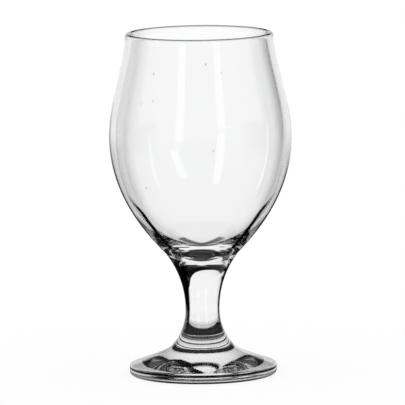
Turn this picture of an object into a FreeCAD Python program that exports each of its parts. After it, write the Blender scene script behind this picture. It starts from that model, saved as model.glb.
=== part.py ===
import FreeCAD, Part
import math
import os

import Sketcher
from FreeCAD import Vector

# Stemmed beer glass of clear soda-lime glass, in millimetres, with Z up and the table at zero.
# A blown bowl, a drawn stem and a pressed foot are fused hot, each on the face of the one below.
# Every piece is turned about Z from half of its section, drawn in the plane of X and Z.

# Driving sizes. A name that ends in share is a plain ratio: it places a curve's handle
# between two ends, or a point within the size that it follows.
SIZES = {
    # Bowl
    "glass_height": 162.0,  # table to the top of the lip
    "rim_diameter": 69.8,  # outside of the lip
    "lip_thickness": 3.0,  # fire-polished lip, fully rounded
    "bowl_diameter": 86.0,  # outside, at the widest ring
    "widest_height": 112.8,  # table to the widest ring
    "wall_thickness": 3.2,  # at the widest ring
    "floor_thickness": 4.62,  # glass under the cavity, on the axis
    "shoulder_share": 0.345,  # upright reach above the widest ring
    "neck_share": 0.22,  # upright reach below the lip
    "belly_share": 0.486,  # upright reach below the widest ring
    "flank_out_share": 0.366,  # reach of the flank out of the joint, across
    "flank_up_share": 0.177,  # and upwards
    "cavity_belly_share": 0.453,  # upright reach of the cavity below the widest ring
    "heel_out_share": 0.70,  # place of the cavity's rounded heel, across
    "heel_up_share": 0.105,  # and upwards
    "cavity_floor_share": 0.129,  # level reach of the cavity's floor
    # Joint of bowl and stem: the bowl's round bottom sits in the stem's cup
    "joint_diameter": 34.2,
    "joint_height": 57.7,
    "seat_depth": 5.8,
    # Stem
    "waist_diameter": 16.0,
    "waist_height": 30.8,
    "root_diameter": 28.8,  # level joint of stem and foot
    "root_height": 13.8,
    # Foot
    "foot_diameter": 69.5,
    "lower_bead_radius": 1.95,
    "upper_bead_radius": 1.4,
    "parting_groove_depth": 0.3,  # between the two beads of the edge
    "bead_crown_share": 0.06,  # drop from the upper bead's top to where the top face leaves it
    "apron_share": 0.5,  # reach of the top face from the edge
    "flare_share": 0.155,  # reach of the stem's flare into the top face
    "bearing_ring_width": 6.0,  # level ring that the glass stands on
    "dish_depth": 0.6,  # hollow of the underside, on the axis
}

DOCUMENT = FreeCAD.newDocument("beer_glass")
PARTS_FOLDER = "parts"

START, END, CENTRE = range(1, 4)  # the points of an edge in a sketch
LEVEL_LINE, UPRIGHT_LINE = range(-1, -3, -1)  # a sketch's own axes; the glass's is the upright one
ORIGIN = (LEVEL_LINE, START)
ON_AXIS = None  # the place across of a point that lies on the glass's axis
ON_TABLE = None  # the height of a point that lies on the table
ACROSS, UP = range(2)  # the two measures of a place


class Size:
    """A number together with the formula of named cells that it follows."""

    def __init__(self, value, formula):
        self.value = value
        self.formula = formula

    def with_sign(self, sign, other, value):
        """The size that an operator makes of this size and another size or ratio."""
        formula = other.formula if isinstance(other, Size) else str(other)
        return Size(value, f"({self.formula} {sign} {formula})")

    def __add__(self, other):
        return self.with_sign("+", other, self.value + plain(other))

    def __sub__(self, other):
        return self.with_sign("-", other, self.value - plain(other))

    def __mul__(self, other):
        return self.with_sign("*", other, self.value * plain(other))

    def __truediv__(self, other):
        return self.with_sign("/", other, self.value / plain(other))


def plain(size):
    """The plain number of a size, or of a place on the axis or the table."""
    if size is None:
        return 0
    return size.value if isinstance(size, Size) else size


def root(size):
    """The square root of a size."""
    return Size(math.sqrt(size.value), f"sqrt({size.formula})")


def between(start, end, share):
    """The place at the given share of the way from start to end."""
    return start + (end - start) * share


def arc_radius(run, rise):
    """The radius of an arc that leaves a line at a tangent and is off it by rise after run."""
    return (run * run + rise * rise) / (rise * 2)


def arc_run(radius, rise):
    """How far along its tangent an arc has run when it is off it by rise."""
    return root(radius * radius - (radius - rise) * (radius - rise))


class Section:
    """Half of a piece's section, drawn edge after edge in one sketch.

    A place is a pair (across, up): the distance from the axis and the height above the table.
    Each edge begins where the last one ended, and each of its points is tied to the sheet.
    """

    def __init__(self, body, first):
        self.body = body
        self.sketch = body.newObject("Sketcher::SketchObject", body.Name + "_section")
        plane = next(f for f in body.Origin.OriginFeatures if f.Role == "XZ_Plane")
        self.sketch.AttachmentSupport = (plane, "")
        self.sketch.MapMode = "FlatFace"
        self.first = first
        self.last = first
        self.last_point = None
        self.first_point = None

    def constrain(self, *terms):
        """Adds a constraint and gives back its number."""
        return self.sketch.addConstraint(Sketcher.Constraint(*terms))

    def tie(self, edge, point, place, measures=(ACROSS, UP)):
        """Ties a point of an edge to its place, by one or both measures."""
        for measure in measures:
            size = place[measure]
            if size is None:
                line = UPRIGHT_LINE if measure == ACROSS else LEVEL_LINE
                self.constrain("PointOnObject", edge, point, line)
            else:
                kind = "DistanceX" if measure == ACROSS else "DistanceY"
                number = self.constrain(kind, *ORIGIN, edge, point, plain(size))
                self.sketch.setExpression(f"Constraints[{number}]", size.formula)

    def add(self, curve, end, start_point=START, end_point=END):
        """Adds an edge from the last place to end."""
        edge = self.sketch.addGeometry(curve, False)
        if self.last_point is None:
            self.first_point = (edge, start_point)
            self.tie(edge, start_point, self.first)
        else:
            self.constrain("Coincident", *self.last_point, edge, start_point)
        if end is self.first:
            self.constrain("Coincident", *self.first_point, edge, end_point)
        else:
            self.tie(edge, end_point, end)
        self.last = end
        self.last_point = (edge, end_point)
        return edge

    def line(self, end):
        """A straight edge."""
        self.add(Part.LineSegment(point_at(self.last), point_at(end)), end)

    def arc(self, end, centre, held, clockwise=False):
        """A round edge. One measure of its centre is held, which its two ends leave free."""
        middle = point_at(centre)
        angles = [math.atan2(p.y - middle.y, p.x - middle.x) for p in map(point_at, (self.last, end))]
        if clockwise:
            angles.reverse()
        if angles[1] < angles[0]:
            angles[1] += math.tau
        circle = Part.Circle(middle, Vector(0, 0, 1), (point_at(end) - middle).Length)
        points = (END, START) if clockwise else (START, END)
        edge = self.add(Part.ArcOfCircle(circle, *angles), end, *points)
        self.tie(edge, CENTRE, centre, (held,))

    def curve(self, *places):
        """A smooth edge drawn by its handles: it leaves towards the first and ends at the last."""
        *handles, end = places
        bow = Part.BezierCurve()
        bow.setPoles([point_at(place) for place in (self.last, *places)])
        edge = self.add(bow.toBSpline(), end)
        self.sketch.exposeInternalGeometry(edge)
        start_circle = edge + 1  # a circle for each of the places follows the curve itself
        for handle_circle, handle in enumerate(handles, start=start_circle + 1):
            self.tie(handle_circle, CENTRE, handle)

    def turn(self):
        """Closes the section along the axis and turns it into the piece's solid."""
        self.line(self.first)
        turned = self.body.newObject("PartDesign::Revolution", self.body.Name + "_turned")
        turned.Profile = self.sketch
        turned.ReferenceAxis = (self.sketch, ["V_Axis"])
        self.body.Tip = turned


def point_at(place):
    """A place as a point of the sketch's plane."""
    return Vector(plain(place[ACROSS]), plain(place[UP]), 0)


def write_sheet(sizes):
    """Gives each driving size a named cell, and returns the sizes by name."""
    sheet = DOCUMENT.addObject("Spreadsheet::Sheet", "sizes")
    for row, (name, value) in enumerate(sizes.items(), start=1):
        sheet.set(f"A{row}", name)
        sheet.set(f"B{row}", str(value))
        sheet.setAlias(f"B{row}", name)
    DOCUMENT.recompute()
    return {name: Size(value, f"{sheet.Name}.{name}") for name, value in sizes.items()}


def new_body(label):
    """An empty piece with its label and its place, at the glass's own origin."""
    body = DOCUMENT.addObject("PartDesign::Body", label)
    body.Label = label
    body.Placement = FreeCAD.Placement()
    return body


def joint_and_seat(size):
    """The joint's outer edge, the lowest point of the seat, and the centre of its sphere."""
    edge = (size["joint_diameter"] / 2, size["joint_height"])
    lowest = (ON_AXIS, size["joint_height"] - size["seat_depth"])
    centre = (ON_AXIS, lowest[UP] + arc_radius(edge[ACROSS], size["seat_depth"]))
    return edge, lowest, centre


def build_bowl(size):
    """Bowl: an egg-shaped cup with a thick round bottom and a rounded lip."""
    edge, lowest, seat_centre = joint_and_seat(size)
    radius = size["bowl_diameter"] / 2
    widest = (radius, size["widest_height"])
    lip_radius = size["lip_thickness"] / 2
    lip_height = size["glass_height"] - lip_radius
    lip_outside = (size["rim_diameter"] / 2, lip_height)
    lip_centre = (lip_outside[ACROSS] - lip_radius, lip_height)
    lip_inside = (lip_outside[ACROSS] - size["lip_thickness"], lip_height)
    cavity_widest = (radius - size["wall_thickness"], size["widest_height"])
    cavity_floor = (ON_AXIS, lowest[UP] + size["floor_thickness"])

    shoulder_height = between(widest[UP], lip_height, size["shoulder_share"])
    neck_height = between(lip_height, widest[UP], size["neck_share"])
    belly_height = between(widest[UP], edge[UP], size["belly_share"])
    flank = (
        between(edge[ACROSS], radius, size["flank_out_share"]),
        between(edge[UP], widest[UP], size["flank_up_share"]),
    )
    cavity_belly_height = between(widest[UP], cavity_floor[UP], size["cavity_belly_share"])
    heel = (
        cavity_widest[ACROSS] * size["heel_out_share"],
        between(cavity_floor[UP], widest[UP], size["heel_up_share"]),
    )
    floor_reach = cavity_widest[ACROSS] * size["cavity_floor_share"]

    section = Section(new_body("bowl"), lowest)
    section.arc(edge, seat_centre, ACROSS)
    section.curve(flank, (radius, belly_height), widest)
    section.curve((radius, shoulder_height), (lip_outside[ACROSS], neck_height), lip_outside)
    section.arc(lip_inside, lip_centre, UP)
    section.curve(
        (lip_inside[ACROSS], neck_height), (cavity_widest[ACROSS], shoulder_height), cavity_widest
    )
    section.curve(
        (cavity_widest[ACROSS], cavity_belly_height),
        heel,
        (floor_reach, cavity_floor[UP]),
        cavity_floor,
    )
    section.turn()


def stem_flare(size):
    """How far the stem's lower flare runs down and spreads out, from the waist to the root."""
    down = size["waist_height"] - size["root_height"]
    out = (size["root_diameter"] - size["waist_diameter"]) / 2
    return down, out


def build_stem(size):
    """Stem: a solid spool, narrow at the waist, with the cup that the bowl sits in."""
    edge, lowest, seat_centre = joint_and_seat(size)
    waist = (size["waist_diameter"] / 2, size["waist_height"])
    flare = arc_radius(*stem_flare(size))
    throat = arc_radius(edge[UP] - waist[UP], edge[ACROSS] - waist[ACROSS])

    section = Section(new_body("stem"), (ON_AXIS, size["root_height"]))
    section.line((size["root_diameter"] / 2, size["root_height"]))
    section.arc(waist, (waist[ACROSS] + flare, waist[UP]), UP, clockwise=True)
    section.arc(edge, (waist[ACROSS] + throat, waist[UP]), UP, clockwise=True)
    section.arc(lowest, seat_centre, ACROSS, clockwise=True)
    section.turn()


def build_foot(size):
    """Foot: a disc with a domed top, a beaded edge from its mould and a dished underside."""
    radius = size["foot_diameter"] / 2
    lower, upper = size["lower_bead_radius"], size["upper_bead_radius"]
    groove_depth = size["parting_groove_depth"]
    lower_centre = (radius - lower, lower)
    groove = (radius - groove_depth, lower + arc_run(lower, groove_depth))
    upper_centre = (radius - upper, groove[UP] + arc_run(upper, groove_depth))
    ring_outside = (lower_centre[ACROSS], ON_TABLE)
    ring_inside = (lower_centre[ACROSS] - size["bearing_ring_width"], ON_TABLE)
    dish_top = (ON_AXIS, size["dish_depth"])
    dish_radius = arc_radius(ring_inside[ACROSS], size["dish_depth"])

    # The top face leaves the upper bead at a tangent, and meets the stem's flare at a tangent
    crown_drop = upper * size["bead_crown_share"]
    crown_run = arc_run(upper, crown_drop)
    crown = (upper_centre[ACROSS] + crown_run, upper_centre[UP] + upper - crown_drop)
    root_edge = (size["root_diameter"] / 2, size["root_height"])
    apron_run = (crown[ACROSS] - root_edge[ACROSS]) * size["apron_share"]
    apron_rise = apron_run * crown_run / (upper - crown_drop)
    down, out = stem_flare(size)
    flare_run = down * size["flare_share"]
    flare_fall = (arc_radius(down, out) - out) * size["flare_share"]

    section = Section(new_body("foot"), dish_top)
    section.arc(ring_inside, (ON_AXIS, size["dish_depth"] - dish_radius), ACROSS, clockwise=True)
    section.line(ring_outside)
    section.arc(groove, lower_centre, ACROSS)
    section.arc(crown, upper_centre, ACROSS)
    section.curve(
        (crown[ACROSS] - apron_run, crown[UP] + apron_rise),
        (root_edge[ACROSS] + flare_run, root_edge[UP] - flare_fall),
        root_edge,
    )
    section.line((ON_AXIS, size["root_height"]))
    section.turn()


def check_model():
    """Stops if any object failed, a sketch is loose, or a piece has no sound solid."""
    for thing in DOCUMENT.Objects:
        if "Invalid" in thing.State or "Error" in thing.State:
            raise RuntimeError(f"{thing.Name} failed: {thing.State}")
        if thing.TypeId == "Sketcher::SketchObject" and not thing.FullyConstrained:
            raise RuntimeError(f"{thing.Name} is not fully tied to the sheet")
    for body in pieces():
        if body.Shape.isNull() or not body.Shape.isValid() or len(body.Shape.Solids) != 1:
            raise RuntimeError(f"{body.Label} has no sound solid")


def pieces():
    """The glass's pieces, in the order they were built."""
    return [thing for thing in DOCUMENT.Objects if thing.TypeId == "PartDesign::Body"]


def write_parts():
    """Writes each piece to its own file and prints its measures."""
    os.makedirs(PARTS_FOLDER, exist_ok=True)
    for body in pieces():
        body.Shape.exportStep(f"{PARTS_FOLDER}/{body.Label}.step")
        box = body.Shape.optimalBoundingBox(True, False)
        print(
            f"{body.Label}: {body.Shape.Volume:.0f} mm3, {box.XLength:.2f} mm across,"
            f" {box.ZMin:.2f} to {box.ZMax:.2f} mm high"
        )


named_sizes = write_sheet(SIZES)
build_foot(named_sizes)
build_stem(named_sizes)
build_bowl(named_sizes)
DOCUMENT.recompute()
check_model()
write_parts()
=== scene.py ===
"""Looks of a stemmed beer glass of clear soda-lime glass, on a pale table in a soft white studio.

The glass is turned about Z and stands on the table at zero. Its three gathers, bowl, stem and foot,
are fused hot. Each is a closed surface of its own: half of its section, in millimetres, is carried
round the axis on a grid of height by angle. Where two gathers are fused there is no change of
medium, so those faces let every ray straight through.
"""

import logging
import math
from dataclasses import dataclass, field, replace
from enum import Enum
from typing import ClassVar

import bpy
import numpy as np
from bpy.types import Material, Mesh, Node, NodeOutputs, NodeSocket, NodeTree, Object
from mathutils import Matrix, Vector

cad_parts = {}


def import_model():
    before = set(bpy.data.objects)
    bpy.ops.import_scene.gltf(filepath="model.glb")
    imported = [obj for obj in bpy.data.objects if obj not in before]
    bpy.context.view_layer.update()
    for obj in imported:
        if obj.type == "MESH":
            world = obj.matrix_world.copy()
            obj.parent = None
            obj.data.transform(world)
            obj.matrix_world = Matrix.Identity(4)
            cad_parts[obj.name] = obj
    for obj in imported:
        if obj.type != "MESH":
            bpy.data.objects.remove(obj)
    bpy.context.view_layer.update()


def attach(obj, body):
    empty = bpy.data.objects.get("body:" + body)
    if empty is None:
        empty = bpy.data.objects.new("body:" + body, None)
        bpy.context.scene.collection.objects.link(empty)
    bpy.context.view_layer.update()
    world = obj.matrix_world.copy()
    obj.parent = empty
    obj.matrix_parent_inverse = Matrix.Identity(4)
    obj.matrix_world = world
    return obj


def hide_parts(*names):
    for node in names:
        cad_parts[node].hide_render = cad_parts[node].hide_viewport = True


Pair = tuple[float, float]
LOG = logging.getLogger("beer_glass")
BODY = "root"
MILLIMETRE = 0.001
HOLLOW = "hollow"  # 1 on the inside of a vessel, 0 elsewhere
FRAME_PIXELS = 405
LEAST_TURN = 1e-4  # between two columns of a turned mesh, in radians
WHITE = (1.0, 1.0, 1.0, 1.0)
GLOOM = 0.004  # the light of a black flag or card
BOUNCES = {
    "max_bounces": 72,
    "glossy_bounces": 64,
    "transmission_bounces": 32,
    "transparent_max_bounces": 64,
}


class Face(Enum):
    """What a stretch of a gather's surface meets."""

    AIR = 0
    FUSED = 1


# Section curves, in millimetres


def bow(*places: Pair, steps: int = 48) -> np.ndarray:
    """A smooth curve that leaves its first place towards the second and ends at the last.

    Each point is the mix of all places with the binomial weights C(n, k) t^k (1 - t)^(n - k).

    Args:
        places: The two ends and the handles between them, as (across, up).
        steps: The number of stretches.

    Returns:
        The points, one row each.
    """
    share = np.linspace(0.0, 1.0, steps + 1)[:, None]
    order = len(places) - 1
    weights = [math.comb(order, k) * share**k * (1 - share) ** (order - k) for k in range(order + 1)]
    return sum(weight * np.asarray(place, float) for weight, place in zip(weights, places))


def arc(start: Pair, end: Pair, centre: Pair, steps: int = 24) -> np.ndarray:
    """The shorter round way from start to end about a centre: centre + radius (cos a, sin a).

    Args:
        start: Where it begins, as (across, up).
        end: Where it ends.
        centre: The middle of its circle.
        steps: The number of stretches.

    Returns:
        The points, one row each.
    """
    middle = np.asarray(centre, float)
    first, last = (math.atan2(*(np.asarray(p, float) - middle)[::-1]) for p in (start, end))
    turn = (last - first + math.pi) % math.tau - math.pi
    angle = first + turn * np.linspace(0.0, 1.0, steps + 1)
    radius = np.hypot(*(np.asarray(start, float) - middle))
    return middle + radius * np.stack([np.cos(angle), np.sin(angle)], axis=1)


def line(start: Pair, end: Pair, steps: int = 6) -> np.ndarray:
    """A straight way: start + t (end - start).

    Args:
        start: Where it begins, as (across, up).
        end: Where it ends.
        steps: The number of stretches.

    Returns:
        The points, one row each.
    """
    share = np.linspace(0.0, 1.0, steps + 1)[:, None]
    return np.asarray(start, float) * (1 - share) + np.asarray(end, float) * share


def between(start: float, end: float, share: float) -> float:
    """The number at the given share of the way from start to end."""
    return start + (end - start) * share


def arc_radius(run: float, rise: float) -> float:
    """The radius of an arc that is off its tangent by rise after run."""
    return (run * run + rise * rise) / (2 * rise)


def arc_run(radius: float, rise: float) -> float:
    """How far along its tangent an arc has run when it is off it by rise."""
    return math.sqrt(radius * radius - (radius - rise) ** 2)


def joined(*curves: np.ndarray) -> np.ndarray:
    """Curves that each begin where the last one ended, made one."""
    return np.vstack([curves[0], *(curve[1:] for curve in curves[1:])])


def from_front(side: float) -> float:
    """The angle from +X, in radians, of a side in degrees from the front towards the right."""
    return math.radians(side - 90)


@dataclass(frozen=True)
class Stretch:
    """One smooth stretch of a section, walked with the glass on its left.

    Attributes:
        points: Its points, as (across, up).
        face: What it meets.
    """

    points: np.ndarray
    face: Face = Face.AIR

    def normals(self) -> np.ndarray:
        """Outward directions: the walk's own direction (dr, dz) turned to (dz, -dr).

        Returns:
            A unit (across, up) for each point, with the ends' slopes carried on from inside.
        """
        walked = np.r_[0.0, np.cumsum(np.hypot(*np.diff(self.points, axis=0).T))]
        slope = np.gradient(self.points, walked, axis=0, edge_order=2)
        outward = np.stack([slope[:, 1], -slope[:, 0]], axis=1)
        return outward / np.linalg.norm(outward, axis=1, keepdims=True)


@dataclass(frozen=True)
class MouldSeam:
    """The fine raised line that a mould's two halves leave down a pressed piece.

    Attributes:
        side: Its angle about the axis, in degrees from the front towards the right.
        height: How proud it stands, in millimetres.
        width: Half its width, in millimetres.
        low, high: Where it ends below and above.
        fade: The height over which it fades at each end.
        reach, columns: How many half widths the closer columns go beside it, and their number.
    """

    side: float
    height: float = 0.05
    width: float = 0.28
    low: float = 16.0
    high: float = 40.0
    fade: float = 3.0
    reach: float = 3.0
    columns: int = 25

    def close_angles(self, radius: float) -> np.ndarray:
        """Rising angles of the closer columns, on a piece of the given radius."""
        beside = np.linspace(-self.reach, self.reach, self.columns) * self.width / radius
        return (from_front(self.side) + beside) % math.tau

    def raised(self, radius: np.ndarray, height: np.ndarray, angles: np.ndarray) -> np.ndarray:
        """How proud it stands: height * exp(-(distance / width)^2), faded at its two ends.

        Args:
            radius: The radius of each point.
            height: The height of each point.
            angles: The angle of each column.

        Returns:
            What it adds to each radius.
        """
        away = (angles - from_front(self.side) + math.pi) % math.tau - math.pi
        fades = [np.clip(end / self.fade, 0, 1) for end in (height - self.low, self.high - height)]
        return self.height * fades[0] * fades[1] * np.exp(-((radius * away / self.width) ** 2))


def turned_angles(columns: int, seams: tuple[MouldSeam, ...], radius: float) -> np.ndarray:
    """Angles of the columns: even all round, with closer ones beside each seam.

    Args:
        columns: How many even ones.
        seams: The seams.
        radius: A usual radius there, which turns a seam's width into an angle.

    Returns:
        Rising angles in radians, measured from +X.
    """
    even = np.arange(columns) * math.tau / columns
    close = [seam.close_angles(radius) for seam in seams]
    for extra in close:
        even = even[(even < extra.min() - LEAST_TURN) | (even > extra.max() + LEAST_TURN)]
    return np.sort(np.concatenate([even, *close]))


def skin(rows: int, columns: int) -> list[np.ndarray]:
    """Faces of a closed skin of level rings: a fan, rows of four-cornered faces, and a fan.

    Its points are the rings, one after another, then the first pole and the last pole.

    Args:
        rows: The number of rings.
        columns: The points of each ring.

    Returns:
        Blocks of faces, one for each step from pole to pole, each face a row of its corners.
    """
    ring = np.arange(columns)
    after = np.roll(ring, -1)
    first_pole, last_pole = (np.full(columns, rows * columns + end) for end in (0, 1))
    top = (rows - 1) * columns
    blocks = [np.stack([first_pole, after, ring], 1)]
    for low in range(0, top, columns):
        high = low + columns
        blocks.append(np.stack([low + ring, low + after, high + after, high + ring], 1))
    return [*blocks, np.stack([top + ring, top + after, last_pole], 1)]


def facing(around: np.ndarray | None, angles: np.ndarray, outward: np.ndarray) -> np.ndarray:
    """Outward directions on a ring: the way it runs, crossed with the way the section runs.

    Args:
        around: The way the ring runs at each of its points, or None at a pole.
        angles: The angle of each point.
        outward: The section's outward direction there, as (across, up).

    Returns:
        A direction for each point, straight up or down at a pole.
    """
    across, up = outward
    if around is None:
        return np.tile([0.0, 0.0, up], (len(angles), 1))
    along = np.stack([-up * np.cos(angles), -up * np.sin(angles), across + 0 * angles], 1)
    out = np.cross(around, along)
    return out / np.linalg.norm(out, axis=1, keepdims=True)


def turned_mesh(name: str, stretches: list[Stretch], columns: int, seams: tuple[MouldSeam, ...]) -> Mesh:
    """Carries a section round the axis: (r cos a, r sin a, z) for every point (r, z) and angle a.

    The section's first and last points lie on the axis and become single points, each with its
    fan of triangles. Neighbouring stretches share a ring, but each keeps its own slope there. What
    comes after the highest ring is marked as hollow.

    Args:
        name: The mesh's name.
        stretches: The section, from the axis round to the axis.
        columns: How many even steps go round.
        seams: Fine raised lines down the piece.

    Returns:
        The closed mesh, in metres, with one material index for each kind of face.
    """
    angles = turned_angles(columns, seams, float(np.median([s.points[:, 0].max() for s in stretches])))
    count = len(angles)
    first, *section, last = joined(*(stretch.points for stretch in stretches))
    radius, height = (np.repeat(np.array(section)[:, [axis]], count, axis=1) for axis in (0, 1))
    for seam in seams:
        radius = radius + seam.raised(radius, height, angles)
    rings = np.stack([radius * np.cos(angles), radius * np.sin(angles), height], axis=2)
    poles = [[0, 0, first[1]], [0, 0, last[1]]]
    places = np.vstack([rings.reshape(-1, 3), poles]) * MILLIMETRE

    wrapped = np.concatenate([rings[:, -1:], rings, rings[:, :1]], axis=1)
    turned = np.r_[angles[-1] - math.tau, angles, angles[0] + math.tau]
    around = [None, *np.gradient(wrapped, turned, axis=1)[:, 1:-1], None]
    after = np.roll(np.arange(count), -1)
    directions, kinds = [], []
    for stretch in stretches:
        outward = stretch.normals()
        for ends in zip(outward[:-1], outward[1:]):
            row = len(directions)
            low, high = (facing(run, angles, out) for run, out in zip(around[row : row + 2], ends))
            corners = [low, low[after], high[after], high]
            if row == 0:
                corners = [low, high[after], high]
            if row == len(rings):
                corners = [low, low[after], high]
            directions.append(np.stack(corners, 1))
            kinds.append(np.full(count, stretch.face.value))
    mesh = mesh_of(name, places, skin(len(rings), count), directions, np.concatenate(kinds))
    inside = np.arange(len(rings)) > np.argmax(height[:, 0])
    hollow = np.r_[np.repeat(inside, count), False, inside[-1]].astype(np.float32)
    mesh.attributes.new(HOLLOW, "FLOAT", "POINT").data.foreach_set("value", hollow)
    return mesh


def mesh_of(
    name: str,
    places: np.ndarray,
    faces: list[np.ndarray],
    directions: list[np.ndarray],
    kinds: np.ndarray,
) -> Mesh:
    """Puts whole arrays of points, faces and corner directions into a mesh.

    Args:
        name: The mesh's name.
        places: One point a row, in metres.
        faces: Blocks of faces, each with one number of corners.
        directions: The outward direction at each corner, block by block.
        kinds: The material index of each face.

    Returns:
        The smooth mesh.
    """
    mesh = bpy.data.meshes.new(name)
    corners = np.concatenate([block.ravel() for block in faces]).astype(np.int32)
    sizes = np.concatenate([np.full(len(block), block.shape[1]) for block in faces]).astype(np.int32)
    mesh.vertices.add(len(places))
    mesh.vertices.foreach_set("co", places.astype(np.float32).ravel())
    mesh.loops.add(len(corners))
    mesh.loops.foreach_set("vertex_index", corners)
    mesh.polygons.add(len(sizes))
    mesh.polygons.foreach_set("loop_start", np.r_[0, np.cumsum(sizes)[:-1]].astype(np.int32))
    mesh.polygons.foreach_set("material_index", kinds.astype(np.int32))
    mesh.update(calc_edges=True)
    mesh.validate()
    mesh.shade_smooth()
    mesh.normals_split_custom_set(np.concatenate([block.reshape(-1, 3) for block in directions]))
    return mesh


def show(mesh: Mesh, finishes: list[Material]) -> Object:
    """Stands a mesh in the scene at the origin, with its materials.

    Args:
        mesh: The mesh, whose name the object takes.
        finishes: The materials, in the order of the faces' indices.

    Returns:
        The object.
    """
    thing = bpy.data.objects.new(mesh.name, mesh)
    for finish in finishes:
        mesh.materials.append(finish)
    bpy.context.scene.collection.objects.link(thing)
    return thing


# Finishes


class Nodes:
    """A short hand for laying out a node tree."""

    def __init__(self, tree: NodeTree) -> None:
        """Empties the tree.

        Args:
            tree: The tree to fill.
        """
        self.tree = tree
        tree.nodes.clear()

    def add(self, kind: str, inputs: dict | None = None, **settings: object) -> Node:
        """Adds a node.

        Args:
            kind: The node's type.
            inputs: A number, colour or another node's output for each input, by name or order.
            settings: The node's own properties.

        Returns:
            The node.
        """
        node = self.tree.nodes.new(kind)
        for key, value in settings.items():
            setattr(node, key, value)
        for key, value in (inputs or {}).items():
            if isinstance(value, NodeSocket):
                self.tree.links.new(value, node.inputs[key])
            else:
                node.inputs[key].default_value = value
        return node

    def math(self, operation: str, *terms: object) -> NodeSocket:
        """One sum on numbers or outputs, carried on over the terms past the second."""
        found = self.add("ShaderNodeMath", dict(enumerate(terms[:2])), operation=operation).outputs[0]
        return self.math(operation, found, *terms[2:]) if terms[2:] else found

    def product(self, *values: object) -> NodeSocket:
        """Several numbers multiplied."""
        return self.math("MULTIPLY", *values)

    def most(self, *values: object) -> NodeSocket:
        """The greatest of several numbers."""
        return self.math("MAXIMUM", *values)

    def rest(self, *values: object) -> NodeSocket:
        """What several numbers leave of 1."""
        return self.math("SUBTRACT", 1.0, *values)

    def off(self, value: object, middle: object) -> NodeSocket:
        """How far one number is from another."""
        return self.math("ABSOLUTE", self.math("SUBTRACT", value, middle))

    def step(self, value: NodeSocket, low: float, high: float) -> NodeSocket:
        """0 at low and 1 at high, with a soft step between them."""
        terms = {"Value": value, "From Min": low, "From Max": high}
        return self.add("ShaderNodeMapRange", terms, interpolation_type="SMOOTHSTEP").outputs[0]

    def mix(self, share: object, first: object, second: object) -> NodeSocket:
        """The number that goes from first to second with share."""
        terms = {"Factor": share, "A": first, "B": second}
        return self.add("ShaderNodeMix", terms).outputs[0]

    def parts(self, place: NodeSocket) -> NodeOutputs:
        """The X, Y and Z of a place or direction."""
        return self.add("ShaderNodeSeparateXYZ", {"Vector": place}).outputs

    def length(self, place: NodeSocket) -> NodeSocket:
        """The distance of a place from the origin."""
        return self.add("ShaderNodeVectorMath", {0: place}, operation="LENGTH").outputs["Value"]

    def object_place(self) -> NodeSocket:
        """Object coordinates."""
        return self.add("ShaderNodeTexCoord").outputs["Object"]

    def aslant(self) -> NodeSocket:
        """How aslant the surface is seen: 0 head on and 1 edge on."""
        return self.add("ShaderNodeLayerWeight", {"Blend": 0.5}).outputs["Facing"]

    def ray(self) -> NodeOutputs:
        """What is known of the ray's way."""
        return self.add("ShaderNodeLightPath").outputs

    def straight_through(self) -> NodeSocket:
        """1 for rays that the glass bent but never threw back inside, so that thin walls stay clear."""
        return self.math("LESS_THAN", self.ray()["Glossy Depth"], 0.5)

    def shader_mix(self, share: NodeSocket, first: Node, second: Node) -> Node:
        """The shader that goes from first to second with share."""
        return self.add("ShaderNodeMixShader", {0: share, 1: first.outputs[0], 2: second.outputs[0]})


@dataclass(frozen=True)
class Finish:
    """The finish of a surface.

    Attributes:
        name: The material's name.
    """

    name: str

    def surface(self, nodes: Nodes) -> Node:
        """Lays out the finish.

        Args:
            nodes: The material's tree.

        Returns:
            The shader node.
        """
        raise NotImplementedError

    def make(self) -> Material:
        """Builds the material.

        Returns:
            The material.
        """
        material = bpy.data.materials.new(self.name)
        material.use_nodes = True
        nodes = Nodes(material.node_tree)
        nodes.add("ShaderNodeOutputMaterial", {"Surface": self.surface(nodes).outputs[0]})
        return material


class By(Enum):
    """What a painted dark line in the glass's colour is bounded by. Lengths are in metres."""

    ASLANT = "how aslant the surface is seen, 0 head on and 1 edge on"
    WIDENED = "the same, with more on the inside of the low bowl, whose edge is wider"
    LEFT = "the same, with more towards the left"
    BEND = "how far that is from the slant at which the cavity's bend is seen"
    HEIGHT = "the height above the table"
    TILTED = "the height, with more towards the right"
    BEAD = "the height from the middle of the foot's edge, up or down"
    OUT = "the distance from the middle of the foot"
    HOLLOW = "1 on the inside of the bowl and 0 outside"


@dataclass(frozen=True)
class PaintedLine:
    """A dark line painted into the glass's colour: painted shade.

    Attributes:
        bounds: Its soft bounds: what each is measured by, where nothing is dark and where all is.
        depth: How dark it is.
    """

    bounds: tuple[tuple[By, float, float], ...]
    depth: float = 1.0

    def lay(self, nodes: Nodes, measures: dict[By, NodeSocket]) -> NodeSocket:
        """How dark the line makes each place: all its bounds multiplied."""
        steps = (nodes.step(measures[kind], bare, full) for kind, bare, full in self.bounds)
        return nodes.product(self.depth, *steps)


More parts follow.
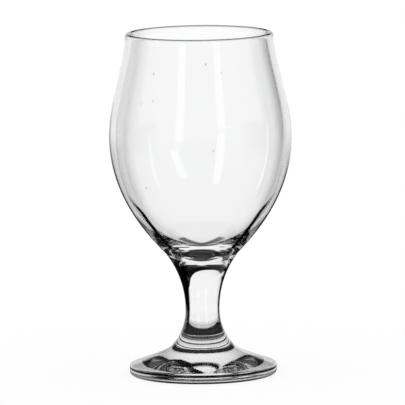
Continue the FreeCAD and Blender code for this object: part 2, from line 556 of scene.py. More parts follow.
@dataclass(frozen=True)
class PaintedShade:
    """Painted shade in the glass's colour: the dark lines that black cards beside a white sheet would draw
    in clear glass, painted into it.

    The wall thickens downwards, so its painted edge lines darken and widen below the widest ring, a little
    lower on the right. The lip, the foot's edge, the stem's sides and the seat get painted lines too, and a
    painted grey darkens the glass where it is seen aslant.
    Heights are in metres. A pair is a soft step: where it is 0, then where it is 1.

    Attributes:
        grey, grey_step: The painted grey where the glass is seen aslant, and where that is.
        soft: How much more the painted shade takes at the soft lines.
        tilt, right: What a metre to the right adds to the height and to the slant.
        heel, heel_wide: Where the low bowl's inner edge is wider, and by how much.
        bend, bend_step, bend_heel: How aslant the cavity's bend is seen, and how much less low down.
        bead: The height of the middle of the foot's edge.
        soft_lines: The painted soft lines at the edges of the thick wall and of the lip.
        black_lines: The painted black lines, in turn: the cavity's bend, the foot's edge, its resting ring,
        the outer edge of the thick wall, the crest of the lip, the stem's sides and the seat.
    """

    grey: float = 0.4
    grey_step: Pair = (0.36, 0.74)
    soft: float = 0.6
    tilt: float = 0.35
    right: float = -17.0
    heel: Pair = (0.084, 0.066)
    heel_wide: float = 0.13
    bend: float = 0.69
    bend_step: Pair = (0.09, 0.078)
    bend_heel: float = 0.12
    bead: float = 0.0038
    soft_lines: tuple[PaintedLine, ...] = (
        PaintedLine(((By.TILTED, 0.122, 0.106), (By.WIDENED, 0.8, 0.92))),
        PaintedLine(((By.HEIGHT, 0.1585, 0.1605), (By.ASLANT, 0.66, 0.9))),
    )
    black_lines: tuple[PaintedLine, ...] = (
        PaintedLine((
            (By.BEND, 0.055, 0.025), (By.HOLLOW, 1, 0),
            (By.HEIGHT, 0.09, 0.082), (By.HEIGHT, 0.058, 0.062),
        )),
        PaintedLine(((By.BEAD, 0.0006, 0.0003),)),
        PaintedLine(((By.HEIGHT, 0.0011, 0.0006), (By.OUT, 0.033, 0.0335))),
        PaintedLine((
            (By.ASLANT, 0.76, 0.86), (By.HOLLOW, 1, 0),
            (By.TILTED, 0.122, 0.106), (By.HEIGHT, 0.062, 0.07),
        )),
        PaintedLine(((By.HEIGHT, 0.1612, 0.1617),), depth=0.85),
        PaintedLine(((By.LEFT, 0.38, 0.48), (By.HEIGHT, 0.02, 0.026), (By.HEIGHT, 0.0555, 0.0525))),
        PaintedLine((
            (By.ASLANT, 0.64, 0.56), (By.ASLANT, 0.4, 0.45),
            (By.HEIGHT, 0.0543, 0.0556), (By.HEIGHT, 0.061, 0.0602),
        ), depth=0.97),
    )

    def measures(self, nodes: Nodes, place: NodeSocket) -> dict[By, NodeSocket]:
        """Lays out what bounds the painted lines.

        Args:
            nodes: The tree being laid out.
            place: Object coordinates.

        Returns:
            The output that holds each measure.
        """
        aslant, parts = nodes.aslant(), nodes.parts(place)
        hollow = nodes.add("ShaderNodeAttribute", attribute_name=HOLLOW).outputs["Fac"]
        wider = nodes.product(nodes.step(parts["Z"], *self.heel), self.heel_wide, hollow)
        lower = nodes.product(nodes.step(parts["Z"], *self.bend_step), self.bend_heel)
        return {
            By.ASLANT: aslant,
            By.WIDENED: nodes.math("ADD", aslant, wider),
            By.LEFT: nodes.math("ADD", aslant, nodes.product(parts["X"], self.right)),
            By.BEND: nodes.off(aslant, nodes.math("SUBTRACT", self.bend, lower)),
            By.HEIGHT: parts["Z"],
            By.TILTED: nodes.math("ADD", parts["Z"], nodes.product(parts["X"], self.tilt)),
            By.BEAD: nodes.off(parts["Z"], self.bead),
            By.OUT: nodes.length(place),
            By.HOLLOW: hollow,
        }

    def shade(self, nodes: Nodes, place: NodeSocket) -> NodeSocket:
        """How much of its colour the glass keeps under the painted shade.

        Args:
            nodes: The tree being laid out.
            place: Object coordinates.

        Returns:
            1 head on, less under the painted grey at a slant and 0 in the painted black lines.
        """
        measures = self.measures(nodes, place)
        # Painted shade: a grey painted into the glass's colour where it is seen aslant.
        grey = nodes.product(nodes.step(measures[By.ASLANT], *self.grey_step), self.grey)
        # Painted dark lines, soft and black, that stand in for shade.
        soft, black = (
            nodes.most(*(line.lay(nodes, measures) for line in lines))
            for lines in (self.soft_lines, self.black_lines)
        )
        return nodes.product(nodes.rest(grey, nodes.product(soft, self.soft)), nodes.rest(black))


@dataclass(frozen=True)
class ClearGlass(Finish):
    """Soda-lime glass: clear, faintly grey, with the slow waves that its making leaves and painted shade in
    its colour.

    Attributes:
        tint: Its colour.
        bends: Its index of refraction.
        slow_wave, slow_scale: The slow waves' depth, and how many there are to the metre.
        fine_wave, fine_scale: The same for the fine ripple.
        stretch: How the waves are drawn out, across, along and up.
        smudge, smudge_scale: The roughness of the dull patches, and how many there are to the metre.
        smudge_step: The noise that makes a patch, as a soft step.
        gloss: How strong the mirror image is where the glass is looked at head on.
        painted_shade: The painted shade: a grey at a slant and dark lines, painted into its colour.
        stipple, stipple_scale: The depth of the dimples under the foot, and how many to the metre.
        stipple_step: The height that they are kept below, as a soft step.
    """

    tint: tuple[float, float, float] = (0.977, 0.981, 0.979)
    bends: float = 1.517
    slow_wave: float = 4e-5
    slow_scale: float = 55.0
    fine_wave: float = 1e-6
    fine_scale: float = 300.0
    stretch: tuple[float, float, float] = (1.0, 1.0, 0.55)
    smudge: float = 0.012
    smudge_scale: float = 38.0
    smudge_step: Pair = (0.52, 0.72)
    gloss: float = 0.5
    painted_shade: PaintedShade = PaintedShade()
    stipple: float = 0.0
    stipple_scale: float = 900.0
    stipple_step: Pair = (0.0009, 0.0002)

    def surface(self, nodes: Nodes) -> Node:
        """Lays out the glass on Object coordinates.

        Args:
            nodes: The material's tree.

        Returns:
            The shader node.
        """
        place = nodes.object_place()
        drawn = nodes.add("ShaderNodeMapping", {"Vector": place, "Scale": self.stretch}).outputs[0]
        slow = nodes.add("ShaderNodeTexNoise", {"Vector": drawn, "Scale": self.slow_scale, "Detail": 1.0})
        fine = nodes.add("ShaderNodeTexNoise", {"Vector": drawn, "Scale": self.fine_scale, "Detail": 2.0})
        dull = nodes.add("ShaderNodeTexNoise", {"Vector": place, "Scale": self.smudge_scale, "Detail": 4.0})
        wave = {"Height": slow.outputs[0], "Distance": self.slow_wave, "Strength": 1.0}
        normal = nodes.add("ShaderNodeBump", wave).outputs[0]
        ripple = {"Height": fine.outputs[0], "Distance": self.fine_wave, "Strength": 1.0, "Normal": normal}
        normal = nodes.add("ShaderNodeBump", ripple).outputs[0]
        if self.stipple:
            normal = self.stippled(nodes, place, normal)
        # Painted shade: the base colour is darkened at a slant and in painted dark lines.
        shade = self.painted_shade.shade(nodes, place)
        colour = nodes.add("ShaderNodeVectorMath", {0: self.tint, "Scale": shade}, operation="SCALE")
        look = {
            "Base Color": colour.outputs[0],
            "Roughness": nodes.product(nodes.step(dull.outputs[0], *self.smudge_step), self.smudge),
            "IOR": self.bends,
            "Transmission Weight": 1.0,
            "Specular Tint": (self.gloss, self.gloss, self.gloss, 1.0),
            "Normal": normal,
        }
        return nodes.add("ShaderNodeBsdfPrincipled", look)

    def stippled(self, nodes: Nodes, place: NodeSocket, under: NodeSocket) -> NodeSocket:
        """Adds the dimples of the standing ring: small cells, kept to where the surface is lowest.

        Args:
            nodes: The tree being laid out.
            place: Object coordinates.
            under: The normal to build on.

        Returns:
            The bumped normal.
        """
        cells = nodes.add("ShaderNodeTexVoronoi", {"Vector": place, "Scale": self.stipple_scale})
        low = nodes.step(nodes.parts(place)["Z"], *self.stipple_step)
        dimples = nodes.product(cells.outputs["Distance"], low)
        bump = {"Height": dimples, "Distance": self.stipple, "Strength": 1.0, "Normal": under}
        return nodes.add("ShaderNodeBump", bump).outputs[0]


@dataclass(frozen=True)
class FusedJoint(Finish):
    """Where two gathers are one glass."""

    name: str = "fused_joint"

    def surface(self, nodes: Nodes) -> Node:
        """Lets every ray straight through."""
        return nodes.add("ShaderNodeBsdfTransparent", {"Color": WHITE})


@dataclass(frozen=True)
class SeedBubble(Finish):
    """Air shut in the glass: light goes from glass to air at its skin.

    Attributes:
        bends: The index of refraction of air seen from inside the glass.
    """

    name: str = "seed_bubble"
    bends: float = 1.0 / ClearGlass.bends

    def surface(self, nodes: Nodes) -> Node:
        """Lays out the bubble's skin."""
        return nodes.add("ShaderNodeBsdfGlass", {"Color": WHITE, "Roughness": 0.0, "IOR": self.bends})


# The glass


@dataclass(frozen=True)
class Joint:
    """A round joint of two gathers: level, or the bottom of a sphere.

    Attributes:
        diameter: Across its edge.
        height: Of that edge above the table.
        depth: From the edge down to its lowest point.
    """

    diameter: float
    height: float
    depth: float = 0.0

    @property
    def edge(self) -> Pair:
        """A point of its edge."""
        return self.diameter / 2, self.height

    @property
    def lowest(self) -> Pair:
        """The lowest point, on the axis."""
        return 0.0, self.height - self.depth

    @property
    def centre(self) -> Pair:
        """The middle of its sphere."""
        return 0.0, self.lowest[1] + arc_radius(self.diameter / 2, self.depth)


class Gather:
    """A gather of glass, turned from half of its section.

    Attributes:
        piece: The name of the piece.
        columns: How many even steps go round it.
        seams: The mould's lines down it.
    """

    piece: ClassVar[str]
    columns: ClassVar[int] = 360
    seams: ClassVar[tuple[MouldSeam, ...]] = ()

    def section(self) -> list[Stretch]:
        """Half of its section, from the axis round to the axis."""
        raise NotImplementedError

    def build(self, finish: Material, joint: Material) -> Object:
        """Makes its surface.

        Args:
            finish: Its glass.
            joint: The material of its fused faces.

        Returns:
            The piece.
        """
        mesh = turned_mesh(self.piece, self.section(), self.columns, self.seams)
        return show(mesh, [finish, joint])


@dataclass
class Bowl(Gather):
    """The blown bowl: an egg open at the top, with a thick round bottom and a rounded lip.

    Attributes:
        seat: The joint that it sits in.
        top: The height of the lip.
        rim_diameter: Outside of the lip.
        lip_thickness: Of the rounded lip.
        diameter: Outside, at the widest ring.
        widest_height: Of that ring.
        wall: The wall's thickness there.
        floor: The glass under the cavity, on the axis.
        shoulder, neck, belly: Upright reaches of the outline's handles.
        flank: The place of the flank's handle, across and up.
        cavity_belly: Upright reach of the cavity's handle.
        heel: The place of the cavity's rounded heel, across and up.
        cavity_floor: Level reach of the cavity's floor.
    """

    piece: ClassVar[str] = "glass_bowl"
    seat: Joint
    top: float = 162.0
    rim_diameter: float = 69.8
    lip_thickness: float = 3.0
    diameter: float = 86.0
    widest_height: float = 112.8
    wall: float = 3.2
    floor: float = 4.62
    shoulder: float = 0.345
    neck: float = 0.22
    belly: float = 0.486
    flank: Pair = (0.366, 0.177)
    cavity_belly: float = 0.453
    heel: Pair = (0.70, 0.105)
    cavity_floor: float = 0.129

    def section(self) -> list[Stretch]:
        """Half of the bowl's section.

        Returns:
            The seat, and the outside, lip and cavity as one.
        """
        radius, widest = self.diameter / 2, (self.diameter / 2, self.widest_height)
        edge, lowest = self.seat.edge, self.seat.lowest
        lip = self.lip_thickness / 2
        lip_height = self.top - lip
        outside = (self.rim_diameter / 2, lip_height)
        lip_centre = (outside[0] - lip, lip_height)
        lip_top = (lip_centre[0], self.top)
        inside = (outside[0] - self.lip_thickness, lip_height)
        shoulder = between(self.widest_height, lip_height, self.shoulder)
        neck = between(lip_height, self.widest_height, self.neck)
        belly = between(self.widest_height, edge[1], self.belly)
        flank = (
            between(edge[0], radius, self.flank[0]),
            between(edge[1], self.widest_height, self.flank[1]),
        )
        hollow = radius - self.wall
        hollow_widest = (hollow, self.widest_height)
        bottom = (0.0, lowest[1] + self.floor)
        hollow_belly = (hollow, between(self.widest_height, bottom[1], self.cavity_belly))
        heel = (hollow * self.heel[0], between(bottom[1], self.widest_height, self.heel[1]))
        floor_end = (hollow * self.cavity_floor, bottom[1])
        outer = joined(
            bow(edge, flank, (radius, belly), widest, steps=60),
            bow(widest, (radius, shoulder), (outside[0], neck), outside, steps=40),
            arc(outside, lip_top, lip_centre, steps=10),
            arc(lip_top, inside, lip_centre, steps=10),
            bow(inside, (inside[0], neck), (hollow, shoulder), hollow_widest, steps=40),
            bow(hollow_widest, hollow_belly, heel, floor_end, bottom, steps=72),
        )
        return [Stretch(arc(lowest, edge, self.seat.centre, steps=10), Face.FUSED), Stretch(outer)]


@dataclass
class Stem(Gather):
    """The drawn stem: a solid spool with the cup that the bowl sits in.

    Attributes:
        seat: The joint with the bowl.
        root: The joint with the foot.
        waist_diameter: Across the waist.
        waist_height: Of the waist.
    """

    piece: ClassVar[str] = "glass_stem"
    seams: ClassVar[tuple[MouldSeam, ...]] = (MouldSeam(-18.0), MouldSeam(162.0))
    seat: Joint
    root: Joint
    waist_diameter: float = 16.0
    waist_height: float = 30.8

    def section(self) -> list[Stretch]:
        """Half of the stem's section.

        Returns:
            The root, the two flares and the cup.
        """
        waist = (self.waist_diameter / 2, self.waist_height)
        foot_edge, edge = self.root.edge, self.seat.edge
        flare = arc_radius(waist[1] - foot_edge[1], foot_edge[0] - waist[0])
        throat = arc_radius(edge[1] - waist[1], edge[0] - waist[0])
        sides = joined(
            arc(foot_edge, waist, (waist[0] + flare, waist[1]), steps=48),
            arc(waist, edge, (waist[0] + throat, waist[1]), steps=60),
        )
        return [
            Stretch(line(self.root.lowest, foot_edge), Face.FUSED),
            Stretch(sides),
            Stretch(arc(edge, self.seat.lowest, self.seat.centre, steps=10), Face.FUSED),
        ]


@dataclass
class Foot(Gather):
    """The pressed foot: a disc with a domed top, a beaded edge and a slightly dished underside.

    Attributes:
        root: The joint with the stem.
        stem: The stem, whose flare runs on into the top face.
        diameter: Over the edge.
        lower_bead: Radius of the lower bead.
        upper_bead: Radius of the upper bead.
        groove: Depth of the parting groove between them.
        crown: Share of the upper bead that the top face cuts off.
        apron: Reach of the top face from the edge.
        flare: Reach of the stem's flare into the top face.
        ring_width: Of the level ring that the glass stands on.
        dish: Hollow of the underside, on the axis.
    """

    piece: ClassVar[str] = "glass_foot"
    columns: ClassVar[int] = 480
    root: Joint
    stem: Stem
    diameter: float = 69.5
    lower_bead: float = 1.95
    upper_bead: float = 1.4
    groove: float = 0.3
    crown: float = 0.06
    apron: float = 0.5
    flare: float = 0.155
    ring_width: float = 6.0
    dish: float = 0.6

    def section(self) -> list[Stretch]:
        """Half of the foot's section.

        Returns:
            The underside, the ring, the two beads, the top face and the root.
        """
        radius = self.diameter / 2
        lower_centre = (radius - self.lower_bead, self.lower_bead)
        groove = (radius - self.groove, self.lower_bead + arc_run(self.lower_bead, self.groove))
        upper_centre = (radius - self.upper_bead, groove[1] + arc_run(self.upper_bead, self.groove))
        ring_outside = (lower_centre[0], 0.0)
        ring_inside = (lower_centre[0] - self.ring_width, 0.0)
        dish_radius = arc_radius(ring_inside[0], self.dish)
        drop = self.upper_bead * self.crown
        run = arc_run(self.upper_bead, drop)
        crown = (upper_centre[0] + run, upper_centre[1] + self.upper_bead - drop)
        edge = self.root.edge
        apron_run = (crown[0] - edge[0]) * self.apron
        apron_rise = apron_run * run / (self.upper_bead - drop)
        down = self.stem.waist_height - self.root.height
        out = edge[0] - self.stem.waist_diameter / 2
        flare_run = down * self.flare
        flare_fall = (arc_radius(down, out) - out) * self.flare
        low_side = (radius, self.lower_bead)
        high_side = (radius, upper_centre[1])
        apron_end = (crown[0] - apron_run, crown[1] + apron_rise)
        flare_end = (edge[0] + flare_run, edge[1] - flare_fall)
        lower = joined(
            arc(ring_outside, low_side, lower_centre, steps=14),
            arc(low_side, groove, lower_centre, steps=6),
        )
        upper = joined(
            arc(groove, high_side, upper_centre, steps=6),
            arc(high_side, crown, upper_centre, steps=12),
            bow(crown, apron_end, flare_end, edge, steps=60),
        )
        return [
            Stretch(arc((0.0, self.dish), ring_inside, (0.0, self.dish - dish_radius), steps=20)),
            Stretch(line(ring_inside, ring_outside, steps=8)),
            Stretch(lower),
            Stretch(upper),
            Stretch(line(edge, self.root.lowest), Face.FUSED),
        ]


@dataclass
class Seeds:
    """Seeds: tiny bubbles that were left in the bowl's wall when it was blown.

    Attributes:
        bowl: The bowl that holds them.
        places: For each, its side in degrees from the front towards the right, its height, its
            share of the way through the wall, and its half length and half width, in millimetres.
        rows: The rings of points on each.
        columns: The points of each ring.
    """

    bowl: Bowl
    places: tuple[tuple[float, float, float, float, float], ...] = (
        (4.7, 150.6, 0.5, 0.42, 0.34),
        (16.0, 146.5, 0.4, 0.36, 0.3),
        (-36.0, 146.0, 0.6, 0.34, 0.28),
        (-56.0, 132.0, 0.5, 0.4, 0.3),
        (-43.0, 131.7, 0.45, 0.34, 0.26),
        (-34.0, 133.5, 0.55, 0.36, 0.28),
        (-41.0, 92.6, 0.5, 0.42, 0.32),
        (118.0, 124.0, 0.5, 0.38, 0.3),
        (171.0, 101.0, 0.5, 0.4, 0.3),
        (-142.0, 139.0, 0.5, 0.34, 0.28),
    )
    rows: int = 7
    columns: int = 16

    def ball(self) -> np.ndarray:
        """A unit sphere's points: (cos u cos v, cos u sin v, sin u) for latitude u and longitude v.

        Returns:
            The rings from the lowest up, then the lowest point and the highest.
        """
        latitude = np.linspace(-math.pi / 2, math.pi / 2, self.rows + 2)[1:-1, None]
        longitude = np.arange(self.columns) * math.tau / self.columns
        level = [np.cos(latitude) * np.cos(longitude), np.cos(latitude) * np.sin(longitude)]
        rings = np.stack([*level, np.sin(latitude) + 0 * longitude], axis=2)
        return np.vstack([rings.reshape(-1, 3), [[0, 0, -1], [0, 0, 1]]])

    def build(self, finish: Material) -> Object:
        """Makes the bubbles: balls drawn out upwards, each about its own middle.

        Args:
            finish: The bubbles' skin.

        Returns:
            The piece, with all bubbles in one mesh.
        """
        section = self.bowl.section()[1].points
        turn = int(np.argmax(section[:, 1]))
        outside, hollow = section[: turn + 1], section[turn:][::-1]
        ball, blocks = self.ball(), skin(self.rows, self.columns)
        places, faces, directions = [], [], []
        for number, (side, height, depth, half_length, half_width) in enumerate(self.places):
            wall = [np.interp(height, curve[:, 1], curve[:, 0]) for curve in (outside, hollow)]
            radius, angle = between(*wall, depth), from_front(side)
            size = [half_width, half_width, half_length]
            places.append([radius * math.cos(angle), radius * math.sin(angle), height] + ball * size)
            outward = ball / size
            outward = outward / np.linalg.norm(outward, axis=1, keepdims=True)
            faces += [block + number * len(ball) for block in blocks]
            directions += [outward[block] for block in blocks]
        kinds = np.zeros(sum(len(block) for block in faces), np.int32)
        mesh = mesh_of("glass_seeds", np.vstack(places) * MILLIMETRE, faces, directions, kinds)
        return show(mesh, [finish])


# Studio and camera


@dataclass(frozen=True)
class Patch:
    """A soft-edged patch of the studio, as the glass sees it.

    Angles are in degrees: azimuth 0 is behind the glass, growing to the right; elevation is up.

    Attributes:
        left, right: Its lowest and highest azimuth.
        low, high: Its lowest and highest elevation.
        glow: How bright it is.
        slant: How far its right side leans in, to each degree up.
        lean: How far the whole patch leans left, to each degree up.
        soft, fade: Half the width of its soft edge at the sides, and below and above.
    """

    left: float
    right: float
    low: float
    high: float
    glow: float = 1.0
    slant: float = 0.0
    lean: float = 0.0
    soft: float = 2.0
    fade: float = 2.5

    def light(self, nodes: Nodes, rise: NodeSocket, round_: NodeSocket) -> NodeSocket:
        """The patch's light towards every direction.

        Args:
            nodes: The world's tree.
            rise: The ray's elevation.
            round_: The ray's azimuth.

        Returns:
            The glow inside the patch and 0 outside.
        """
        if self.lean:
            round_ = nodes.math("ADD", round_, nodes.product(rise, self.lean))
        leaned = nodes.math("ADD", round_, nodes.product(rise, self.slant)) if self.slant else round_
        return nodes.product(
            nodes.step(round_, self.left - self.soft, self.left + self.soft),
            nodes.step(leaned, self.right + self.soft, self.right - self.soft),
            nodes.step(rise, self.low - self.fade, self.low + self.fade),
            nodes.step(rise, self.high + self.fade, self.high - self.fade),
            self.glow,
        )


@dataclass(frozen=True)
class BlackCard(Finish):
    """Black underneath to the rays that glass sends up, and not there for any other: a painted dark patch
    in what the stem shows.

    Attributes:
        gloom: How bright the black is.
    """

    name: str = "black_card"
    gloom: float = GLOOM

    def surface(self, nodes: Nodes) -> Node:
        """Lays out the card.

        Args:
            nodes: The material's tree.

        Returns:
            The shader node.
        """
        side = nodes.add("ShaderNodeNewGeometry").outputs["Backfacing"]
        seen = nodes.product(nodes.ray()["Is Transmission Ray"], side)
        black = nodes.add("ShaderNodeEmission", {"Color": WHITE, "Strength": self.gloom})
        return nodes.shader_mix(seen, nodes.add("ShaderNodeBsdfTransparent"), black)


@dataclass(frozen=True)
class PaleTable(Finish):
    """The table: white to the camera with the glass's soft shadow; to rays that glass bends, a painted
    shade under the foot and a painted gleam at a slant.

    Distances are from the axis, in metres. A pair is a soft step: where it is 0, then where it is 1.

    Attributes:
        matt: How much light it gives back.
        glow: Its own light, which makes it white.
        painted_gleam: How aslant the table is seen where its painted gleam, a painted reflection, shows.
        core: The painted shadow, a dark round under the stem.
        foot_edge: The foot's edge.
        under_glow, beside_glow: How bright the painted gleam is under the foot and beside it.
        clear_glow, core_glow: How bright the table is through thin walls, and in the painted dark round.
        shade: Where the foot's painted shade ends.
    """

    name: str = "pale_table"
    matt: float = 0.16
    glow: float = 0.84
    painted_gleam: Pair = (0.28, 0.5)
    core: Pair = (0.020, 0.025)
    foot_edge: Pair = (0.0335, 0.0365)
    under_glow: float = 0.4
    beside_glow: float = 0.06
    clear_glow: float = 0.8
    core_glow: float = 0.024
    shade: Pair = (0.050, 0.058)

    def painted_under_glass(self, nodes: Nodes, distance: NodeSocket) -> NodeSocket:
        """The painted shade and painted gleam of the table near the foot: dark straight down, lighter at a
        slant.

        Args:
            nodes: The table's tree.
            distance: From the axis, in metres.

        Returns:
            The brightness.
        """
        # Painted reflection: brighter where the table is seen aslant.
        painted_gleam = nodes.product(nodes.step(nodes.aslant(), *self.painted_gleam), nodes.step(distance, *self.core))
        lit = nodes.mix(nodes.step(distance, *self.foot_edge), self.under_glow, self.beside_glow)
        clear = nodes.product(nodes.straight_through(), self.clear_glow)
        return nodes.most(nodes.product(painted_gleam, lit), clear, self.core_glow)

    def surface(self, nodes: Nodes) -> Node:
        """Lays out the table.

        Args:
            nodes: The material's tree.

        Returns:
            The shader node.
        """
        distance, ray = nodes.length(nodes.object_place()), nodes.ray()
        matt = nodes.add("ShaderNodeBsdfDiffuse", {"Color": (self.matt, self.matt, self.matt, 1.0)})
        glow = nodes.add("ShaderNodeEmission", {"Color": WHITE, "Strength": self.glow})
        plain = nodes.add("ShaderNodeAddShader", {0: matt.outputs[0], 1: glow.outputs[0]})
        # Painted shade and painted gleam near the foot, seen only by rays that the glass bends.
        dark = nodes.add("ShaderNodeEmission", {"Strength": self.painted_under_glass(nodes, distance)})
        sheer = nodes.add("ShaderNodeBsdfTransparent")
        painted_under_foot = nodes.shader_mix(nodes.step(distance, *self.shade), dark, sheer)
        bent = nodes.most(ray["Is Transmission Ray"], ray["Is Glossy Ray"])
        return nodes.shader_mix(bent, plain, painted_under_foot)


@dataclass
class Studio:
    """A pale table and a white studio, with black flags beside the white so that the edges draw.

    Attributes:
        reach: Half the width of the table, in metres.
        gloom: How bright the black flags are.
        horizon: Where the table's far end is seen, in elevation: its lowest and highest.
        table_glow: How bright the table is in the glass.
        clear_glow: How bright the studio round about is through thin walls.
        clear_round, clear_high: Its azimuth to either side and its elevation, as soft steps.
        panels: The white sheet behind, the ceiling and the panels at the sides.
        flags: The black flags in front of sheet and table.
        strips: The window strips that only the gloss shows.
        front: How bright the gloss shows the rest of the studio.
        card_height, card: The small black card's height and corners, in metres.
    """

    reach: float = 6.0
    gloom: float = GLOOM
    horizon: Pair = (-13.0, -8.0)
    table_glow: float = 0.975
    clear_glow: float = 0.97
    clear_round: Pair = (36.0, 44.0)
    clear_high: Pair = (60.0, 40.0)
    panels: tuple[Patch, ...] = (
        Patch(-62, 40, -16, 39, slant=0.6),
        Patch(-60, 60, 47, 95),
        Patch(-150, -118, -95, 25, glow=0.3, soft=4),
        Patch(122, 150, -95, 25, glow=0.3, soft=4),
        Patch(-200, -118, -95, 4, glow=0.9, soft=6, fade=9),
        Patch(118, 200, -95, 4, glow=0.9, soft=6, fade=9),
    )
    flags: tuple[Patch, ...] = (Patch(-80, -58, -32, 35), Patch(47, 80, -32, 35))
    strips: tuple[Patch, ...] = (
        Patch(-60, 40, -8, 14, soft=6, fade=4),
        Patch(-158.8, -148.2, -1.5, 26, glow=3.2, soft=0.8, fade=0.8),
        Patch(-157.0, -146.5, -9.0, -1.5, glow=1.4, soft=2.5, fade=1.5),
        Patch(-147.0, -136.2, -33, -9.6, glow=3.4, lean=-0.43, soft=0.8, fade=0.5),
        Patch(-150, -138, -10.1, -9.1, glow=2.6, soft=1.0, fade=0.25),
        Patch(147.6, 158.2, 8.2, 26, glow=3.2, soft=0.8, fade=0.5),
        Patch(148.0, 158.0, 4.6, 8.2, glow=1.6, soft=2.0, fade=0.6),
        Patch(148.4, 159.0, -38, 4.4, glow=3.4, lean=0.11, soft=0.8, fade=0.5),
        Patch(141, 153, 7.5, 8.3, glow=2.6, soft=1.0, fade=0.25),
        Patch(-116, -110.5, -37, 2, glow=2.2, fade=3, soft=1.2),
        Patch(83.6, 87.4, -34, 2, glow=2.4, fade=3, soft=0.9),
    )
    front: float = 0.02
    card_height: float = 0.0602
    card: tuple[Pair, ...] = (
        (-0.004, 0.0205), (0.0285, 0.018), (0.070, 0.038), (0.090, 0.080), (0.080, 0.120), (0.033, 0.075),
    )

    def build(self) -> None:
        """Lights the world, hangs the card and lays the table."""
        self.light_world()
        self.hang_card()
        self.lay_table()

    def light_world(self) -> None:
        """White for the camera; panels and flags for what glass bends; window strips for gloss."""
        world = bpy.data.worlds.new("white_studio")
        bpy.context.scene.world = world
        world.use_nodes = True
        nodes = Nodes(world.node_tree)
        parts = nodes.parts(nodes.add("ShaderNodeTexCoord").outputs["Generated"])
        rise = nodes.product(nodes.math("ARCSINE", parts["Z"]), math.degrees(1))
        round_ = nodes.product(nodes.math("ARCTAN2", parts["X"], parts["Y"]), math.degrees(1))
        mirrored = nodes.most(self.front, *(s.light(nodes, rise, round_) for s in self.strips))
        ray = nodes.ray()
        level = nodes.mix(ray["Is Glossy Ray"], 1.0, mirrored)
        level = nodes.mix(ray["Is Transmission Ray"], level, self.seen_through(nodes, rise, round_))
        level = nodes.mix(ray["Is Camera Ray"], level, 1.0)
        light = nodes.add("ShaderNodeBackground", {"Color": WHITE, "Strength": level})
        nodes.add("ShaderNodeOutputWorld", {"Surface": light.outputs[0]})

    def seen_through(self, nodes: Nodes, rise: NodeSocket, round_: NodeSocket) -> NodeSocket:
        """How bright the studio is for a ray that the glass has bent.

        Args:
            nodes: The world's tree.
            rise: The ray's elevation.
            round_: The ray's azimuth.

        Returns:
            The brightness.
        """
        low, high = self.horizon
        table = nodes.product(nodes.step(rise, high, low), self.table_glow)
        white = nodes.most(table, *(panel.light(nodes, rise, round_) for panel in self.panels))
        white = nodes.product(white, *(nodes.rest(flag.light(nodes, rise, round_)) for flag in self.flags))
        round_about = nodes.step(nodes.math("ABSOLUTE", round_), *self.clear_round)
        beyond = nodes.product(round_about, nodes.step(rise, *self.clear_high))
        clear = nodes.product(beyond, self.clear_glow, nodes.straight_through())
        return nodes.most(white, clear, self.gloom)

    def hang_card(self) -> None:
        """Hangs a small level black card beside the seat: painted shade that only the glass shows. It is
        not part of the glass.
        """
        mesh = bpy.data.meshes.new("black_card")
        corners = [(x, y, self.card_height) for x, y in self.card]
        mesh.from_pydata(corners, [], [tuple(range(len(corners)))])
        card = show(mesh, [BlackCard().make()])

    def lay_table(self) -> None:
        """Lays the table at zero. It is not part of the glass."""
        mesh = bpy.data.meshes.new("pale_table")
        corners = np.array([[-1, -1, 0], [1, -1, 0], [1, 1, 0], [-1, 1, 0]]) * self.reach
        mesh.from_pydata(corners.tolist(), [], [(0, 1, 2, 3)])
        table = show(mesh, [PaleTable().make()])


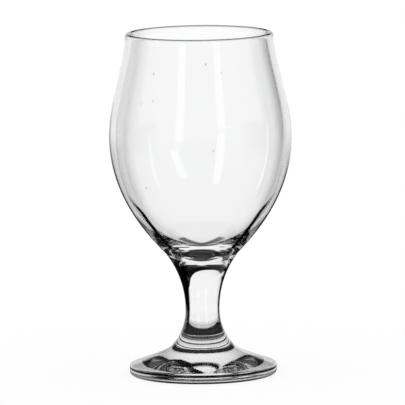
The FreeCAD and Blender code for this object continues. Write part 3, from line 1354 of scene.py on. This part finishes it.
@dataclass
class PhotoCamera:
    """The camera: far off with a long lens, a little above the glass, leaning slightly.

    Attributes:
        distance: From the glass's axis, in metres.
        height: Above the table.
        aim: The height on the axis that it looks at.
        focal_pixels: The lens, in pixels of the picture.
        lean: The picture's lean: how far the glass's top goes left, in degrees.
        middle: Where the aim lies in the picture, in pixels from its left and top.
        sensor: The sensor's width, in millimetres.
        seen: The nearest and the farthest that it sees, in metres.
    """

    distance: float = 2.916
    height: float = 0.467
    aim: float = 0.081
    focal_pixels: float = 6241.0
    lean: float = 0.733
    middle: Pair = (201.2, 203.4)
    sensor: float = 36.0
    seen: Pair = (0.05, 50.0)

    def build(self) -> Object:
        """Makes the camera and hands it to the scene.

        Returns:
            The camera.
        """
        data = bpy.data.cameras.new("photo_camera")
        data.sensor_width = self.sensor
        data.lens = data.sensor_width * self.focal_pixels / FRAME_PIXELS
        data.shift_x = (FRAME_PIXELS / 2 - self.middle[0]) / FRAME_PIXELS
        data.shift_y = (self.middle[1] - FRAME_PIXELS / 2) / FRAME_PIXELS
        data.clip_start, data.clip_end = self.seen
        camera = bpy.data.objects.new("photo_camera", data)
        bpy.context.scene.collection.objects.link(camera)
        eye = Vector((0.0, -self.distance, self.height))
        ahead = (Vector((0.0, 0.0, self.aim)) - eye).normalized()
        level = Vector((1.0, 0.0, 0.0))
        upright = level.cross(ahead)
        turn = math.radians(self.lean)
        right = level * math.cos(turn) - upright * math.sin(turn)
        up = level * math.sin(turn) + upright * math.cos(turn)
        camera.matrix_world = Matrix.Translation(eye) @ Matrix((right, up, -ahead)).transposed().to_4x4()
        bpy.context.scene.camera = camera
        return camera


@dataclass
class BeerGlass:
    """The whole glass: bowl, stem and foot, with the seeds in the bowl's wall.

    Attributes:
        seat: The joint of bowl and stem.
        root: The joint of stem and foot.
        pieces: What was made, by the name of the solid that each stands for.
    """

    seat: Joint = Joint(diameter=34.2, height=57.7, depth=5.8)
    root: Joint = Joint(diameter=28.8, height=13.8)
    pieces: dict[str, Object] = field(default_factory=dict)

    def build(self) -> None:
        """Makes the four pieces, each riding on the glass's one body."""
        joint = FusedJoint().make()
        bowl = Bowl(self.seat)
        stem = Stem(self.seat, self.root)
        foot = Foot(self.root, stem)
        self.pieces["bowl"] = bowl.build(ClearGlass("bowl_glass").make(), joint)
        solid = ClearGlass(
            "stem_glass", tint=(0.93, 0.935, 0.933), slow_wave=1.2e-5, fine_wave=4e-7, smudge=0.006
        )
        self.pieces["stem"] = stem.build(solid.make(), joint)
        self.pieces["foot"] = foot.build(replace(solid, name="foot_glass", stipple=5e-6).make(), joint)
        for node, piece in self.pieces.items():
            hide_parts(node)
        self.pieces["seeds"] = Seeds(bowl).build(SeedBubble().make())
        for name, piece in self.pieces.items():
            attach(piece, BODY)
            LOG.info("%s: %s with %d faces", name, piece.name, len(piece.data.polygons))


def settle_render() -> None:
    """Plain view transform, and enough bounces for light that is shut in thick glass."""
    scene = bpy.context.scene
    scene.view_settings.view_transform = "Standard"
    for kind, count in BOUNCES.items():
        setattr(scene.cycles, kind, count)


def main() -> None:
    """Builds the glass, the studio and the camera in order."""
    logging.basicConfig(level=logging.INFO, format="%(name)s: %(message)s")
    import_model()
    BeerGlass().build()
    Studio().build()
    PhotoCamera().build()
    settle_render()


if __name__ == "__main__":
    main()
